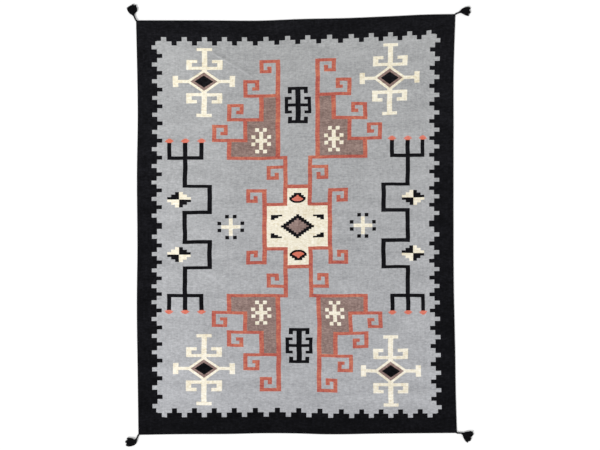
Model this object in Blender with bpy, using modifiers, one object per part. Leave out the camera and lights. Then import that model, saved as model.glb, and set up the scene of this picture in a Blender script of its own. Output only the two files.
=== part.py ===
"""Southwest style rug: one flat-woven wool sheet, with a yarn tassel on a twisted tie at each corner.

Metres, +Z up. The origin is on the floor at the middle of the woven pattern, +Y towards the rug's
upper end and +X towards its right side. The sheet is loomed nominally 1.83 m by 2.41 m and lies with
the slight bows and slants that its edges have.
"""

from collections import namedtuple
import math

import bmesh
import bpy
from mathutils import Matrix, Vector
from mathutils.geometry import interpolate_bezier
import numpy as np

OBJECT_NAME = "southwest_style_rug"
FIT_GAP = 0.0003

# Woven sheet
HALF_WIDTH = 0.917
HALF_LENGTH = 1.205
SHEET_THICKNESS = 0.004
EDGE_ROUNDING = 0.0013
EDGE_ROUNDING_STEPS = 2
CELLS_ACROSS = 16
CELLS_ALONG = 20
CORNER_CUT = 0.006

EdgePoint = namedtuple("EdgePoint", "along place")
# Where each edge lies: along is measured on the edge from the middle, place across it.
LEFT_EDGE = (
    EdgePoint(-1.205, -0.920),
    EdgePoint(-0.900, -0.9245),
    EdgePoint(-0.460, -0.929),
    EdgePoint(-0.120, -0.9265),
    EdgePoint(0.310, -0.9285),
    EdgePoint(0.660, -0.9235),
    EdgePoint(1.205, -0.932),
)
RIGHT_EDGE = (
    EdgePoint(-1.205, 0.924),
    EdgePoint(-0.730, 0.912),
    EdgePoint(-0.380, 0.904),
    EdgePoint(0.050, 0.901),
    EdgePoint(0.850, 0.901),
    EdgePoint(1.205, 0.912),
)
TOP_EDGE = (
    EdgePoint(-0.917, 1.191),
    EdgePoint(-0.484, 1.1895),
    EdgePoint(-0.206, 1.189),
    EdgePoint(0.0, 1.198),
    EdgePoint(0.280, 1.204),
    EdgePoint(0.558, 1.216),
    EdgePoint(0.917, 1.2275),
)
BOTTOM_EDGE = (
    EdgePoint(-0.917, -1.208),
    EdgePoint(-0.640, -1.202),
    EdgePoint(-0.170, -1.198),
    EdgePoint(0.150, -1.203),
    EdgePoint(0.490, -1.1985),
    EdgePoint(0.917, -1.196),
)
MIDDLE_RISE = 0.0038

# Crease: a soft ridge that runs between two places and fades towards both
Crease = namedtuple("Crease", "start_x start_y end_x end_y height half_width")
CREASES = (Crease(-0.490, 1.014, -0.241, 0.858, 0.003, 0.022),)
CREASE_CUTS = 5
CREASE_REACH = 2.5

# Twisted tie
TIE_RADIUS = 0.0038
TIE_PLIES = 3
TIE_GROOVE = 0.13
TIE_PROFILE_POINTS = 12
TIE_TURN_LENGTH = 0.024
TIE_STEPS = 18
TIE_HANDLE = 0.35
TIE_FLOOR_GAP = 0.0002

# Tassel head: rings from the tie's side to the strands, as distance, half-width and half-height
HeadRing = namedtuple("HeadRing", "distance half_width half_height")
HEAD_RINGS = (
    HeadRing(0.0000, 0.0036, 0.0036),
    HeadRing(0.0012, 0.0056, 0.0050),
    HeadRing(0.0040, 0.0074, 0.0058),
    HeadRing(0.0074, 0.0072, 0.0057),
)
HEAD_END = HeadRing(0.0092, 0.0066, 0.0056)
HEAD_HEIGHT = 0.0058

# Tassel strands: columns side by side, layers one on another
COLUMNS = 11
LAYERS = 4
STRAND_STEPS = 4
STRAND_HALF_WIDTH = 0.0018
STRAND_FILL = 0.42
LAYER_PITCH = 0.0028
LAYER_GAP = 0.0004
ROOT_INSET = 0.00016
LAYER_NARROWING = 0.09
MIDDLE_CURVE = 0.30
SHORTER_SIDES = 0.12
UNEVEN_LENGTH = 0.07
UNEVEN_SIDEWAYS = 0.30
STRAY_FROM = 0.6
STRAY_SHORTER = 0.16
SEED = 7

# Corners: which side, where the tie ends, its heading there, the heading and length of the tassel
# from there, how far its strands spread to each side at the middle and at the tips, and how far an
# outer lock strays, to the left of the heading if positive. Headings are in degrees from +X.
Corner = namedtuple(
    "Corner", "name side_x side_y tie_x tie_y arrives leans length middle tips stray"
)
CORNERS = (
    Corner("nw", -1, 1, -0.950, 1.221, 116, 89, 0.066, 0.034, 0.016, 0.030),
    Corner("ne", 1, 1, 0.939, 1.240, 26, 5, 0.063, 0.023, 0.032, 0.0),
    Corner("sw", -1, -1, -0.935, -1.233, -118, -166, 0.064, 0.026, 0.021, 0.0),
    Corner("se", 1, -1, 0.953, -1.199, -20, -30, 0.063, 0.036, 0.042, 0.0),
)

GREY_WOOL = ("grey_wool", (0.41, 0.42, 0.43, 1.0))
BLACK_WOOL = ("black_wool", (0.012, 0.012, 0.014, 1.0))
WOOL_ROUGHNESS = 0.9


def clear_scene():
    """Removes every object that the scene holds."""
    for thing in list(bpy.data.objects):
        bpy.data.objects.remove(thing, do_unlink=True)


def new_collection(name):
    """Adds a collection to the scene."""
    collection = bpy.data.collections.new(name)
    bpy.context.scene.collection.children.link(collection)
    return collection


def wool(name, colour):
    """A rough, non-metallic material in one colour."""
    material = bpy.data.materials.new(name)
    material.use_nodes = True
    shader = material.node_tree.nodes["Principled BSDF"]
    shader.inputs["Base Color"].default_value = colour
    shader.inputs["Roughness"].default_value = WOOL_ROUGHNESS
    shader.inputs["Metallic"].default_value = 0.0
    material.diffuse_color = colour
    return material


def heading(degrees):
    """The level unit vector that points this many degrees from +X towards +Y."""
    angle = math.radians(degrees)
    return Vector((math.cos(angle), math.sin(angle), 0.0))


def through(points, along):
    """A smooth curve's height at along: a cubic between neighbouring points, its slope at each
    point being that of the line between the points on either side."""
    t = np.array([p.along for p in points])
    y = np.array([p.place for p in points])
    slope = np.gradient(y, t)
    k = int(np.clip(np.searchsorted(t, along) - 1, 0, len(t) - 2))
    step = t[k + 1] - t[k]
    f = (along - t[k]) / step
    rise = f * f * (3.0 - 2.0 * f)
    bend_in = f * (1.0 - f) ** 2 * step * slope[k]
    bend_out = f * f * (1.0 - f) * step * slope[k + 1]
    return y[k] + (y[k + 1] - y[k]) * rise + bend_in - bend_out


def floor_place(u, v):
    """Where the loomed point (u, v), each from -1 to 1, lies on the floor. The middle stays in the
    middle, the rim follows the four edges, and the threads between bow from one to the other."""
    left = through(LEFT_EDGE, v * HALF_LENGTH)
    right = through(RIGHT_EDGE, v * HALF_LENGTH)
    top = through(TOP_EDGE, u * HALF_WIDTH)
    bottom = through(BOTTOM_EDGE, u * HALF_WIDTH)
    x = u * (right - left) / 2 + u * u * (right + left) / 2
    middle = u * MIDDLE_RISE
    y = middle + v * (top - bottom) / 2 + v * v * ((top + bottom) / 2 - middle)
    return x, y


def distance_to(crease, x, y):
    """The distance from a crease's line, and how far along it the nearest point is, from 0 to 1."""
    start = Vector((crease.start_x, crease.start_y))
    run = Vector((crease.end_x, crease.end_y)) - start
    offset = Vector((x, y)) - start
    f = min(max(offset.dot(run) / run.length_squared, 0.0), 1.0)
    return (offset - run * f).length, f


def crease_height(x, y):
    """How far the creases lift the cloth here: a bell across each, a half wave along it."""
    lift = 0.0
    for crease in CREASES:
        away, f = distance_to(crease, x, y)
        edge = max(0.0, 1.0 - (away / (CREASE_REACH * crease.half_width)) ** 2)
        lift += crease.height * edge**3 * math.sin(math.pi * f)
    return lift


def under_crease(face):
    """Whether a cell lies near enough to a crease to need finer cells."""
    x, y = floor_place(*face.calc_center_median().xy)
    cell = 2 * HALF_WIDTH / CELLS_ACROSS
    return any(
        distance_to(crease, x, y)[0] < cell / 2 + CREASE_REACH * crease.half_width
        for crease in CREASES
    )


def make_sheet(collection, material):
    """The rug: a grid laid on the floor by floor_place, its corners cut for the ties, lifted by the
    creases, then given its thickness and a rounded edge."""
    bm = bmesh.new()
    bmesh.ops.create_grid(bm, x_segments=CELLS_ACROSS, y_segments=CELLS_ALONG, size=1.0)
    near = [face for face in bm.faces if under_crease(face)]
    edges = list({edge for face in near for edge in face.edges})
    bmesh.ops.subdivide_edges(bm, edges=edges, cuts=CREASE_CUTS, use_grid_fill=True)
    for vertex in bm.verts:
        x, y = floor_place(vertex.co.x, vertex.co.y)
        vertex.co = (x, y, crease_height(x, y))
    corners = [vertex for vertex in bm.verts if len(vertex.link_edges) == 2]
    bmesh.ops.bevel(
        bm,
        geom=corners,
        offset=CORNER_CUT,
        offset_type="OFFSET",
        segments=1,
        affect="VERTICES",
    )
    mesh = bpy.data.meshes.new("rug")
    bm.to_mesh(mesh)
    bm.free()
    mesh.materials.append(material)
    rug = bpy.data.objects.new("rug", mesh)
    collection.objects.link(rug)
    solidify = rug.modifiers.new("thickness", "SOLIDIFY")
    solidify.thickness = SHEET_THICKNESS
    solidify.offset = 1.0
    bevel = rug.modifiers.new("rounded_edge", "BEVEL")
    bevel.width = EDGE_ROUNDING
    bevel.segments = EDGE_ROUNDING_STEPS
    bevel.limit_method = "ANGLE"
    bevel.angle_limit = math.radians(40)
    mesh.shade_smooth()
    mesh.set_sharp_from_angle(angle=math.radians(50))
    return rug


def corner_place(corner):
    """The middle of the cut corner, and the level direction that its cut faces."""
    tip = Vector((*floor_place(corner.side_x, corner.side_y), 0.0))
    inward = 0.02
    beside = Vector((*floor_place(corner.side_x * (1 - inward), corner.side_y), 0.0)) - tip
    below = Vector((*floor_place(corner.side_x, corner.side_y * (1 - inward)), 0.0)) - tip
    first = tip + beside.normalized() * CORNER_CUT
    second = tip + below.normalized() * CORNER_CUT
    across = (second - first).normalized()
    out = Vector((across.y, -across.x, 0.0))
    if out.dot(tip) < 0:
        out = -out
    return (first + second) / 2, out


def twist_profile(guides):
    """The cord's section, a closed curve: a circle with one lobe for each ply, drawn clockwise so
    that the cord's faces point outwards."""
    curve = bpy.data.curves.new("tie_profile", "CURVE")
    curve.dimensions = "2D"
    spline = curve.splines.new("POLY")
    spline.points.add(TIE_PROFILE_POINTS - 1)
    spline.use_cyclic_u = True
    for index, point in enumerate(spline.points):
        angle = -2 * math.pi * index / TIE_PROFILE_POINTS
        radius = TIE_RADIUS * (1 - TIE_GROOVE * (1 - math.cos(TIE_PLIES * angle)) / 2)
        point.co = (radius * math.cos(angle), radius * math.sin(angle), 0.0, 1.0)
    profile = bpy.data.objects.new("tie_profile", curve)
    profile.hide_render = True
    profile.display_type = "WIRE"
    guides.objects.link(profile)
    return profile


def make_tie(corner, profile, collection, material):
    """A twisted cord from the cut corner to the tassel's head: the lobed section carried along a
    bent line that leaves the corner squarely, turned once in every TIE_TURN_LENGTH."""
    place, out = corner_place(corner)
    arrival = heading(corner.arrives)
    resting = TIE_RADIUS + TIE_FLOOR_GAP
    start = place + out * FIT_GAP
    start.z = resting
    end = Vector((corner.tie_x, corner.tie_y, resting))
    handle = TIE_HANDLE * (end - start).length
    route = interpolate_bezier(
        start, start + out * handle, end - arrival * handle, end, TIE_STEPS + 1
    )
    curve = bpy.data.curves.new("tie_" + corner.name, "CURVE")
    curve.dimensions = "3D"
    curve.bevel_mode = "OBJECT"
    curve.bevel_object = profile
    curve.use_fill_caps = True
    spline = curve.splines.new("POLY")
    spline.points.add(len(route) - 1)
    gone = 0.0
    for index, (point, place) in enumerate(zip(spline.points, route)):
        if index:
            gone += (place - route[index - 1]).length
        point.co = (*place, 1.0)
        point.tilt = 2 * math.pi * gone / TIE_TURN_LENGTH
    curve.materials.append(material)
    tie = bpy.data.objects.new("tie_" + corner.name, curve)
    collection.objects.link(tie)
    return tie


def round_off(p, q):
    """Moves a point of the square from -1 to 1 to its place on the unit disc."""
    return p * math.sqrt(1 - q * q / 2), q * math.sqrt(1 - p * p / 2)


def head_point(ring, p, q):
    """A point of a head ring, in the head's own frame: forward, left and up from the floor."""
    across, up = round_off(p, q)
    return Vector((ring.distance, across * ring.half_width, HEAD_HEIGHT + up * ring.half_height))


def sides_of(cell):
    """A cell's column and layer in the square grid and, for each of its corners, which side of the
    cell's middle it lies on: left or right, upper or lower."""
    middle = cell.calc_center_median()
    column = int((middle.x + 1) / 2 * COLUMNS)
    layer = int((middle.y + 1) / 2 * LAYERS)
    sides = [(math.copysign(1.0, v.co.x - middle.x), v.co.y > middle.y) for v in cell.verts]
    return column, layer, sides


def make_head(bm):
    """The head in its own frame: a grid where the strands begin, its rim carried back ring by ring
    to a flat end at the tie. Returns the grid's faces, each with what sides_of says of it."""
    made = bmesh.ops.create_grid(bm, x_segments=COLUMNS, y_segments=LAYERS, size=1.0)
    place_in_square = {vertex: vertex.co.xy.copy() for vertex in made["verts"]}
    cells = {face: sides_of(face) for face in bm.faces}
    rim = [edge for edge in bm.edges if len(edge.link_faces) == 1]
    rim_verts = {vertex for edge in rim for vertex in edge.verts}
    for vertex, (p, q) in place_in_square.items():
        vertex.co = head_point(HEAD_END, p, q)
    last = {vertex: place_in_square[vertex] for vertex in rim_verts}
    for ring in reversed(HEAD_RINGS):
        made = bmesh.ops.extrude_edge_only(bm, edges=rim)
        new_verts = [item for item in made["geom"] if isinstance(item, bmesh.types.BMVert)]
        rim = [item for item in made["geom"] if isinstance(item, bmesh.types.BMEdge)]
        following = {}
        for vertex in new_verts:
            source = next(
                edge.other_vert(vertex) for edge in vertex.link_edges if edge.other_vert(vertex) in last
            )
            following[vertex] = last[source]
        for vertex, (p, q) in following.items():
            vertex.co = head_point(ring, p, q)
        last = following
        rim = [edge for edge in rim if all(vertex in last for vertex in edge.verts)]
    bmesh.ops.contextual_create(bm, geom=rim)
    return cells


def bend(start, control, end, f):
    """A point of the parabola from start to end that control pulls on."""
    return start * (1 - f) ** 2 + control * 2 * f * (1 - f) + end * f * f


def across_fan(column):
    """A column's place across the fan of strands, from -1 on the right to 1 on the left."""
    return (2 * column + 1) / COLUMNS - 1


def straying(corner, column):
    """How far a column belongs to the stray lock, from 0 to 1."""
    if not corner.stray:
        return 0.0
    outwards = across_fan(column) * math.copysign(1.0, corner.stray)
    return max(0.0, (outwards - STRAY_FROM) / (1 - STRAY_FROM))


def strand_section(corner, column, layer, f, reach, sway):
    """The middle, the left direction, the half-width and the underside of one strand's section, f of
    the way from the head to its tip. The strands follow a bent middle line and fan out from it."""
    ahead = heading(corner.arrives)
    base = Vector((corner.tie_x, corner.tie_y, 0.0))
    start = base + ahead * HEAD_END.distance
    end = base + heading(corner.leans) * corner.length
    control = start + ahead * MIDDLE_CURVE * (end - start).length
    gone = f * reach
    middle = bend(start, control, end, gone)
    tangent = ((control - start) * (1 - gone) + (end - control) * gone).normalized()
    left = Vector((-tangent.y, tangent.x, 0.0))
    spread = bend(HEAD_END.half_width, corner.middle, corner.tips, gone)
    spread *= 1 - LAYER_NARROWING * layer * min(1.0, 2 * f)
    pitch = 2 * spread / COLUMNS
    aside = across_fan(column) * spread + corner.stray * straying(corner, column) * f * f
    aside += sway * pitch * f
    half_width = min(STRAND_HALF_WIDTH, STRAND_FILL * pitch)
    return middle + left * aside, left, half_width, layer * LAYER_PITCH


def make_tassel(corner, collection, material):
    """A tassel lying on the floor: each cell of the head's front grid is drawn out into a strand of
    four sides, the lowest layer flat on the floor."""
    bm = bmesh.new()
    cells = make_head(bm)
    turn = Matrix.Rotation(math.radians(corner.arrives), 4, "Z")
    shift = Matrix.Translation((corner.tie_x, corner.tie_y, 0.0))
    seat = Matrix.Translation(heading(corner.arrives) * FIT_GAP)
    bmesh.ops.transform(bm, matrix=seat @ shift @ turn, verts=bm.verts)
    bmesh.ops.inset_individual(bm, faces=list(cells), thickness=ROOT_INSET, use_even_offset=True)
    random = np.random.default_rng(SEED + CORNERS.index(corner))
    for face, (column, layer, sides) in cells.items():
        reach = 1 - SHORTER_SIDES * across_fan(column) ** 2 - STRAY_SHORTER * straying(corner, column)
        reach -= UNEVEN_LENGTH * random.random()
        sway = UNEVEN_SIDEWAYS * (random.random() - 0.5)
        for step in range(1, STRAND_STEPS + 1):
            face = bmesh.ops.extrude_discrete_faces(bm, faces=[face])["faces"][0]
            place, left, half, under = strand_section(
                corner, column, layer, step / STRAND_STEPS, reach, sway
            )
            for vertex, (side, is_upper) in zip(face.verts, sides):
                height = under + is_upper * (LAYER_PITCH - LAYER_GAP)
                vertex.co = place + left * side * half + Vector((0.0, 0.0, height))
    bmesh.ops.recalc_face_normals(bm, faces=bm.faces)
    mesh = bpy.data.meshes.new("tassel_" + corner.name)
    bm.to_mesh(mesh)
    bm.free()
    mesh.materials.append(material)
    tassel = bpy.data.objects.new("tassel_" + corner.name, mesh)
    collection.objects.link(tassel)
    return tassel


def main():
    clear_scene()
    collection = new_collection(OBJECT_NAME)
    guides = new_collection("guides")
    grey = wool(*GREY_WOOL)
    black = wool(*BLACK_WOOL)
    make_sheet(collection, grey)
    profile = twist_profile(guides)
    for corner in CORNERS:
        make_tie(corner, profile, collection, black)
        make_tassel(corner, collection, black)


main()
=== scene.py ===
# %% [markdown]
# # Southwest style rug
#
# The real thing is one flat-woven wool cloth, about 1.83 by 2.41 m and 4 mm thick, in the common
# 6 by 8 foot class. Its stepped border and its motifs aren't printed on: each colour is another weft
# yarn, beaten down so hard over the warps that only the wefts show. At each corner the ends of the
# edge cords are twisted into a short tie that carries a black yarn tassel.
#
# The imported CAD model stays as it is. Every piece made below stands in for one of its plain solids
# and fills the same space with a finer surface.

# %% Load the frame
from collections import namedtuple

import bpy
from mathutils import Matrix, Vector
from mathutils.geometry import delaunay_2d_cdt
import numpy as np


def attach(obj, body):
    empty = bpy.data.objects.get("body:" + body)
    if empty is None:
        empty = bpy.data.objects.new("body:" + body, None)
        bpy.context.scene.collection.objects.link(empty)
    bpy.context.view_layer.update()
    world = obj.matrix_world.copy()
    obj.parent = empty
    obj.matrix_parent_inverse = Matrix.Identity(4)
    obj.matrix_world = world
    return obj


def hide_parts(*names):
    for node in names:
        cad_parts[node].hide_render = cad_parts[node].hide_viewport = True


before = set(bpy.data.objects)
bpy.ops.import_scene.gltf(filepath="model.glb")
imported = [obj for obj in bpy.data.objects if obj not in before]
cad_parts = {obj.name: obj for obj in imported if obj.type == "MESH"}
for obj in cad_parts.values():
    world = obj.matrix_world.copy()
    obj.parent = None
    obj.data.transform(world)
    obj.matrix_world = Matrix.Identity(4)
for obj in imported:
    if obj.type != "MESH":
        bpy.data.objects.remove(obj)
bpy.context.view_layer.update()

MM = 0.001
print("nodes in the frame:", ", ".join(sorted(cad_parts)))

# %% [markdown]
# ## Camera, floor and light
#
# The rug is seen from straight above, so the camera looks down the Z axis from far enough away that
# nothing looks tapered. A pale floor and a white sky give soft light. Alone they would hide the crease
# and the weave's ribs, so one lamp shines from low on the lower left. It is a sun lamp with a wide
# angle, because a near lamp would light one end of the rug more.

# %% Camera
VIEW_WIDTH = 3.474
VIEW_CENTRE = (0.0139, 0.0069)
LENS = 85.0
SENSOR = 36.0

camera_data = bpy.data.cameras.new("camera")
camera_data.lens = LENS
camera_data.sensor_width = SENSOR
camera = bpy.data.objects.new("camera", camera_data)
camera.location = (*VIEW_CENTRE, VIEW_WIDTH * LENS / SENSOR)
bpy.context.scene.collection.objects.link(camera)
bpy.context.scene.camera = camera
bpy.context.scene.view_settings.view_transform = "Standard"
print("camera height in metres:", round(camera.location.z, 2))


# %% [markdown]
# ## Helpers
#
# Three small jobs come back all through the script: turning a colour code into the linear numbers
# that Blender works with, adding a shader node with its links, and turning numpy arrays into a mesh.
# A node editor shows a shader better, but the same lines of code can make six wools.

# %% Colours and nodes
def linear(code):
    """The linear colour of an sRGB hex code: each channel c becomes c/12.92 below 0.04045, and
    ((c + 0.055)/1.055) to the power 2.4 above it."""
    c = np.array([int(code[i : i + 2], 16) for i in (1, 3, 5)]) / 255
    c = np.where(c <= 0.04045, c / 12.92, ((c + 0.055) / 1.055) ** 2.4)
    return (*c.tolist(), 1.0)


def add(tree, kind, settings=None, inputs=None):
    """Adds one node. settings are its own options, inputs its sockets by name or number. A socket
    given there is linked, a node is linked by its first output, and any other value is set."""
    made = tree.nodes.new("ShaderNode" + kind)
    for name, value in (settings or {}).items():
        setattr(made, name, value)
    for name, value in (inputs or {}).items():
        if isinstance(value, bpy.types.Node):
            value = value.outputs[0]
        if isinstance(value, bpy.types.NodeSocket):
            tree.links.new(value, made.inputs[name])
        else:
            made.inputs[name].default_value = value
    return made


def new_material(name):
    """An empty node material and its tree."""
    material = bpy.data.materials.new(name)
    material.use_nodes = True
    material.node_tree.nodes.clear()
    return material, material.node_tree


print("the code #808080 as a linear value:", round(linear("#808080")[0], 4))


# %% Meshes from arrays
def new_object(name, points, faces, materials, face_material=None):
    """A smooth mesh object at the origin: points is an (n, 3) array, faces a list of arrays of
    corner numbers, one array for each number of corners."""
    mesh = bpy.data.meshes.new(name)
    mesh.from_pydata(points, [], [face for block in faces for face in block.tolist()])
    for material in materials:
        mesh.materials.append(material)
    if face_material is not None:
        mesh.polygons.foreach_set("material_index", face_material.astype(np.int32))
    mesh.shade_smooth()
    thing = bpy.data.objects.new(name, mesh)
    bpy.context.scene.collection.objects.link(thing)
    return thing


def add_uv(thing, name, corner_uv):
    """Adds a UV map from an array with one (u, v) for each face corner."""
    layer = thing.data.uv_layers.new(name=name)
    layer.data.foreach_set("uv", np.ascontiguousarray(corner_uv, dtype=np.float32).ravel())


def corner_numbers(thing):
    """The vertex number of every face corner."""
    numbers = np.empty(len(thing.data.loops), dtype=np.int32)
    thing.data.loops.foreach_get("vertex_index", numbers)
    return numbers


# %% Floor
FLOOR_SIZE = 40.0
FLOOR_DROP = 0.0003

paper, tree = new_material("matt_white_paper_sweep")
shader = add(
    tree, "BsdfPrincipled",
    inputs={"Base Color": linear("#F4F4F4"), "Roughness": 0.9, "Specular IOR Level": 0.1},
)
add(tree, "OutputMaterial", inputs={"Surface": shader})
corners = np.array([(x * FLOOR_SIZE / 2, y * FLOOR_SIZE / 2, -FLOOR_DROP) for x in (-1, 1) for y in (-x, x)])
floor = new_object("floor", corners, [np.array([[1, 2, 3, 0]])], [paper])
print("floor:", FLOOR_SIZE, "m square,", FLOOR_DROP / MM, "mm below the rug")

# %% Light
SKY_STRENGTH = 0.74
KEY_STRENGTH = 2.5
KEY_ANGLE = 12.0
KEY_DIRECTION = (0.62, 0.55, -0.56)

world = bpy.data.worlds.new("white_room")
bpy.context.scene.world = world
world.use_nodes = True
sky = world.node_tree.nodes["Background"].inputs
sky["Color"].default_value = (1.0, 1.0, 1.0, 1.0)
sky["Strength"].default_value = SKY_STRENGTH
key_data = bpy.data.lights.new("key", "SUN")
key_data.energy = KEY_STRENGTH
key_data.angle = np.radians(KEY_ANGLE)
key = bpy.data.objects.new("key", key_data)
key.rotation_euler = Vector(KEY_DIRECTION).to_track_quat("-Z", "Y").to_euler()
bpy.context.scene.collection.objects.link(key)
elevation = np.degrees(np.arcsin(-Vector(KEY_DIRECTION).normalized().z))
print("key lamp above the floor, in degrees:", round(elevation))

# %% [markdown]
# ## Where the cloth lies
#
# On the loom every thread was straight. On the floor the edges bow a little, the rows climb slightly
# to the right, and one soft crease runs across the upper left. So the cloth is made in loom
# coordinates first, a across the width and b along the length, and each point is then moved to its
# place on the floor, and the pattern bends with the threads. The four edges are smooth curves through
# measured places, and all between them is blended from edge to edge. The weft isn't beaten down alike
# everywhere, so rows climb and sink by up to 27 mm at the sides, and a few places are tugged aside.

# %% Edges
HALF_WIDTH = 0.917
HALF_LENGTH = 1.205
THICKNESS = 0.004
MIDDLE_RISE = 0.0038
# Each edge as (place along it on the loom, where it lies on the floor), in millimetres.
LEFT_EDGE = (
    (-1205, -921.5), (-900, -925.5), (-460, -930.5), (-120, -927.5),
    (310, -930), (660, -925.5), (1205, -935),
)
RIGHT_EDGE = (
    (-1205, 922), (-980, 915.5), (-730, 911.5), (-380, 904), (50, 902),
    (300, 902), (580, 902.5), (850, 902.5), (1205, 913),
)
TOP_EDGE = (
    (-917, 1191), (-484, 1190.5), (-206, 1189.5), (0, 1198),
    (280, 1204), (558, 1216), (740, 1224.5), (917, 1227.5),
)
BOTTOM_EDGE = (
    (-917, -1208), (-640, -1204), (-400, -1203), (-170, -1198.5), (0, -1200),
    (150, -1204.5), (490, -1200.5), (917, -1197),
)


def through(points, along):
    """A smooth curve's height in metres at along, for a whole array: a cubic between neighbouring
    points, which are in millimetres. Its slope at a point is that of the line between the two beside."""
    t, y = np.array(points).T * MM
    slope = np.gradient(y, t)
    k = np.clip(np.searchsorted(t, along) - 1, 0, len(t) - 2)
    step = t[k + 1] - t[k]
    f = (along - t[k]) / step
    bend = f * (1 - f) * step * ((1 - f) * slope[k] - f * slope[k + 1])
    return y[k] + (y[k + 1] - y[k]) * f * f * (3 - 2 * f) + bend


for edge, name in ((LEFT_EDGE, "left"), (RIGHT_EDGE, "right"), (TOP_EDGE, "top"), (BOTTOM_EDGE, "bottom")):
    print("bow of the", name, "edge in mm:", round(float(np.ptp(edge, axis=0)[1]), 1))

# %% How the rows climb and sink
# How far the rows lie above their even place, as (place along the length, rise) in millimetres: on
# the left side's teeth, in the field on the left, in the middle and on the right, and on the right
# side's teeth. At both ends of the rug the rise is nothing.
LEFT_TEETH = (
    (-1040, 12), (-830, 27), (-640, 21), (-450, 19), (-300, 8), (-150, 1), (0, 4.5), (160, 1), (450, -5),
    (650, -2), (950, -5),
)
LEFT_FIELD = (
    (-1000, 8), (-830, 15), (-700, 12.5), (-450, 1.5), (-200, -3.5), (0, -3.5), (250, -3), (440, 0),
    (820, 7.5), (950, 9), (1080, -3),
)
MIDDLE_FIELD = (
    (-830, 6), (-580, -0.5), (-450, -4), (-200, -3), (0, -0.5), (300, 2), (440, 1.5), (570, 7), (700, 9.5),
    (950, 8.5), (1080, 0),
)
RIGHT_FIELD = (
    (-950, -6), (-700, 2), (-450, -2), (-200, 0.5), (50, 5.5), (300, 4), (570, 7), (700, 7), (820, 13),
    (950, 14), (1080, 4.5),
)
RIGHT_TEETH = (
    (-1050, -2), (-850, 1), (-640, 12), (-540, 18), (-440, 12), (-300, 9), (-150, 7), (0, 12), (160, 8),
    (360, 0), (600, -7), (750, -6), (950, 2), (1060, 8),
)
ROW_PLACES = (-0.85, -0.815, -0.60, 0.0, 0.60, 0.815, 0.85)
ROW_CURVES = (LEFT_TEETH, LEFT_FIELD, LEFT_FIELD, MIDDLE_FIELD, RIGHT_FIELD, RIGHT_FIELD, RIGHT_TEETH)


def smooth(low, high, value):
    """Rises from 0 at low to 1 at high without a corner: f*f*(3 - 2f)."""
    f = np.clip((value - low) / (high - low), 0, 1)
    return f * f * (3 - 2 * f)


def off_the_rim(u, v, across, along):
    """1 inside the cloth and 0 on its rim: how far in the point is, as a share of the half width and of
    the half length, times across and along, each kept between 0 and 1."""
    return np.clip(across * (1 - np.abs(u)), 0, 1) * np.clip(along * (1 - np.abs(v)), 0, 1)


def row_rise(u, b):
    """How far a row lies above its even place: the curves' values, blended across the width."""
    rises = np.stack([through(((-1205, 0), *curve, (1205, 0)), b) for curve in ROW_CURVES])
    places = np.array(ROW_PLACES)
    k = np.clip(np.searchsorted(places, u) - 1, 0, len(places) - 2)
    f = smooth(0, 1, (u - places[k]) / (places[k + 1] - places[k]))
    below, above = (np.take_along_axis(rises, (k + i)[None], 0)[0] for i in (0, 1))
    return below * (1 - f) + above * f


rises = row_rise(np.array([-1.0, 0.0, 1.0]), np.full(3, -0.83)) / MM
print("rise in mm of a row 0.83 m below the middle, left, middle and right:", rises.round(1).tolist())

# %% Tugs, and the place on the floor
# Places that are tugged aside or up: their middle as a share of the half width and in metres along,
# their width as such a share and their length in metres, and how far they move, in millimetres.
Pull = namedtuple("Pull", "u b wide long aside up")
PULLS = [Pull(*row) for row in (
    (0.14, -0.85, 0.31, 0.36, 10.5, 0), (0.06, -0.38, 0.12, 0.26, 7, 0),
    (-0.54, -0.03, 0.26, 0.27, -4.5, 0), (0.53, 0.70, 0.07, 0.10, 0, -5), (0.86, 0.0, 0.08, 1.10, -4, 0),
    (-0.60, 1.03, 0.30, 0.13, 5, 0), (0.42, 1.02, 0.22, 0.16, 5, 0), (0.05, 0.65, 0.12, 0.35, 3, 0),
    (0.24, 0.05, 0.12, 0.18, -3, 0), (-0.72, -0.68, 0.15, 0.15, 3.5, 0), (0.30, 0.72, 0.12, 0.12, 0, 4),
    (0.30, -0.63, 0.15, 0.13, 0, -4), (-0.30, -0.62, 0.18, 0.20, 0, -3), (-0.28, 0.45, 0.15, 0.20, 0, -3.5),
    (0.17, -0.18, 0.12, 0.16, 0, 4), (-0.76, 0.19, 0.14, 0.07, 0, 4), (-0.25, -0.98, 0.30, 0.07, 0, -3),
    (0.0, 0.19, 0.33, 0.06, 0, -3.5),
)]


def floor_place(a, b):
    """Where the loomed point (a, b), in metres, lies on the floor: the middle stays in the middle, the
    rim follows the four edges, and the threads between bow from one to the other."""
    u = a / HALF_WIDTH
    v = b / HALF_LENGTH
    left, right = through(LEFT_EDGE, b), through(RIGHT_EDGE, b)
    top, bottom = through(TOP_EDGE, a), through(BOTTOM_EDGE, a)
    middle = u * MIDDLE_RISE
    x = u * (right - left) / 2 + u * u * (right + left) / 2
    y = middle + v * (top - bottom) / 2 + v * v * ((top + bottom) / 2 - middle)
    return x, y


def cloth_place(a, b):
    """Where the loomed point lies once the rise of its row is added, and the pulls. Each falls off as e
    to the minus square of the distance across and fourth power of that along."""
    x, y = floor_place(a, b)
    u, v = a / HALF_WIDTH, b / HALF_LENGTH
    y = y + row_rise(u, b)
    inside = off_the_rim(u, v, 8, 12)
    for pull in PULLS:
        swell = inside * np.exp(-(((u - pull.u) / pull.wide) ** 2) - ((b - pull.b) / pull.long) ** 4) * MM
        x, y = x + pull.aside * swell, y + pull.up * swell
    return x, y


def loom_place(x, y):
    """The loomed point that lies at a place on the floor, found by correcting a guess four times."""
    a, b = x, y
    for _ in range(4):
        there = cloth_place(a, b)
        a, b = a + x - there[0], b + y - there[1]
    return a, b


print("the middle of the cloth lies at", [round(float(c), 4) for c in cloth_place(0.0, 0.0)], "m")

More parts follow.
